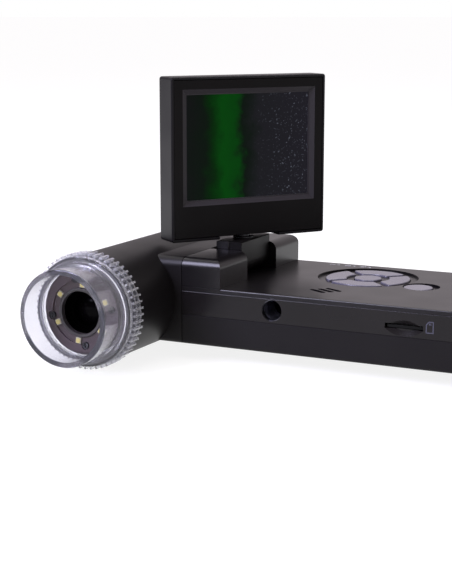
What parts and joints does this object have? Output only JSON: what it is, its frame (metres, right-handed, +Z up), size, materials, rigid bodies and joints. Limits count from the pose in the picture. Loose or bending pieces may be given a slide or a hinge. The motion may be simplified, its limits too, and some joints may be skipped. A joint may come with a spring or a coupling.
{
  "type": "video magnifier",
  "caption": "Handheld video magnifier: clear-nosed camera barrel with focus ring, flat handle with keypad and card slot, and a screen on a tilt and swivel hinge.",
  "frame": {"origin": "centre of the tripod insert's outer face, on the handle's front side", "axes": "+X along the handle away from the camera barrel, -Y the way the lens looks and out of the tripod socket, +Z up out of the keypad face"},
  "size_m": [0.1482, 0.1007, 0.0882],
  "materials": {
    "barrel_plastic": "fine matte black moulding",
    "lower_plastic": "fine matte black moulding",
    "gloss_band": "polished dark band",
    "top_plastic": "satin soft-touch coat, near black",
    "clear_plastic": "clear moulded acrylic",
    "plate_black": "black inner parts",
    "led_package": "white moulded package",
    "led_phosphor": "yellow phosphor",
    "screw_black": "black oxide steel",
    "steel": "plain bright steel",
    "washer_plastic": "natural acetal",
    "lens_glass": "coated optical glass",
    "circuit_board": "green solder mask",
    "chip_black": "black moulded epoxy",
    "ribbon": "amber flat cable",
    "battery_wrap": "blue wrapped cell",
    "key_lavender": "lavender-grey gloss keys",
    "insert_metal": "machined threaded insert",
    "jack_black": "black moulded socket",
    "screen_gloss": "black piano-gloss bezel",
    "screen_shell": "satin shell, violet-grey sheen",
    "display": "display glass",
    "backlight_white": "backlight module"
  },
  "bodies": {
    "housing": {"barrel_shell": "barrel_plastic", "barrel_rear_cap": "barrel_plastic", "head_fairing": "barrel_plastic", "lens_guide": "barrel_plastic", "lower_shell": "lower_plastic", "battery_cover": "lower_plastic", "side_band": "gloss_band", "top_cover": "top_plastic", "front_cheek": "top_plastic", "rear_cheek": "top_plastic", "led_plate": "plate_black", "lens_bezel": "plate_black", "led_packages": "led_package", "led_phosphors": "led_phosphor", "plate_screws": "screw_black", "case_screws": "screw_black", "dome_switches": "steel", "card_socket": "steel", "usb_socket": "steel", "sensor_board": "circuit_board", "main_board": "circuit_board", "keypad_board": "circuit_board", "board_chips": "chip_black", "image_sensor": "chip_black", "speaker": "chip_black", "camera_ribbon": "ribbon", "battery": "battery_wrap", "tripod_insert": "insert_metal", "av_socket": "jack_black"},
    "focus_ring": {"focus_ring": "clear_plastic", "nozzle": "clear_plastic", "focus_yoke": "plate_black"},
    "lens_carriage": {"lens_carriage": "plate_black", "front_lens": "lens_glass", "rear_lens": "lens_glass", "lens_retainer": "plate_black"},
    "hinge_knuckle": {"knuckle_left": "top_plastic", "knuckle_right": "top_plastic", "tilt_pin": "steel", "friction_washers": "washer_plastic", "swivel_post": "screw_black"},
    "screen": {"screen_back_cover": "screen_shell", "screen_bezel": "screen_gloss", "lcd_panel": "display", "lcd_backlight": "backlight_white", "screen_board": "circuit_board", "swivel_plate": "screw_black", "plate_fixing_screws": "screw_black"},
    "memory_card": {"memory_card": "chip_black"},
    "key_up": {"key_up": "key_lavender"},
    "key_down": {"key_down": "key_lavender"},
    "key_left": {"key_left": "key_lavender"},
    "key_right": {"key_right": "key_lavender"},
    "key_ok": {"key_ok": "key_lavender"},
    "key_capture": {"key_capture": "key_lavender"}
  },
  "joints": [
    {"name": "screen_tilt", "type": "hinge", "parent": "housing", "child": "hinge_knuckle", "pos_m": [-0.0246, 0.03035, 0.01005], "axis": [0, 1, 0], "range_deg": [0, 30]},
    {"name": "screen_swivel", "type": "hinge", "parent": "hinge_knuckle", "child": "screen", "pos_m": [-0.0246, 0.03035, 0.01765], "axis": [0, 0, 1], "range_deg": [-143.8, 72.4]},
    {"name": "focus_turn", "type": "hinge", "parent": "housing", "child": "focus_ring", "pos_m": [-0.0507, -0.0283, 0.00015], "axis": [0, -1, 0], "range_deg": [-50, 50]},
    {"name": "focus_slide", "type": "slide", "parent": "housing", "child": "lens_carriage", "axis": [0, -1, 0], "range_m": [-0.00125, 0.00125]},
    {"name": "card_slide", "type": "slide", "parent": "housing", "child": "memory_card", "axis": [0, -1, 0], "range_m": [-0.0008, 0.012]},
    {"name": "key_up_press", "type": "slide", "parent": "housing", "child": "key_up", "axis": [0, 0, -1], "range_m": [0, 0.0005], "stiffness_N_per_m": 600, "springref_m": -0.0005},
    {"name": "key_down_press", "type": "slide", "parent": "housing", "child": "key_down", "axis": [0, 0, -1], "range_m": [0, 0.0005], "stiffness_N_per_m": 600, "springref_m": -0.0005},
    {"name": "key_left_press", "type": "slide", "parent": "housing", "child": "key_left", "axis": [0, 0, -1], "range_m": [0, 0.0005], "stiffness_N_per_m": 600, "springref_m": -0.0005},
    {"name": "key_right_press", "type": "slide", "parent": "housing", "child": "key_right", "axis": [0, 0, -1], "range_m": [0, 0.0005], "stiffness_N_per_m": 600, "springref_m": -0.0005},
    {"name": "key_ok_press", "type": "slide", "parent": "housing", "child": "key_ok", "axis": [0, 0, -1], "range_m": [0, 0.0005], "stiffness_N_per_m": 600, "springref_m": -0.0005},
    {"name": "key_capture_press", "type": "slide", "parent": "housing", "child": "key_capture", "axis": [0, 0, -1], "range_m": [0, 0.0005], "stiffness_N_per_m": 600, "springref_m": -0.0005}
  ],
  "couplings": [
    {"joint": "focus_slide", "follows": "focus_turn", "m_per_rad": 0.0014324}
  ]
}
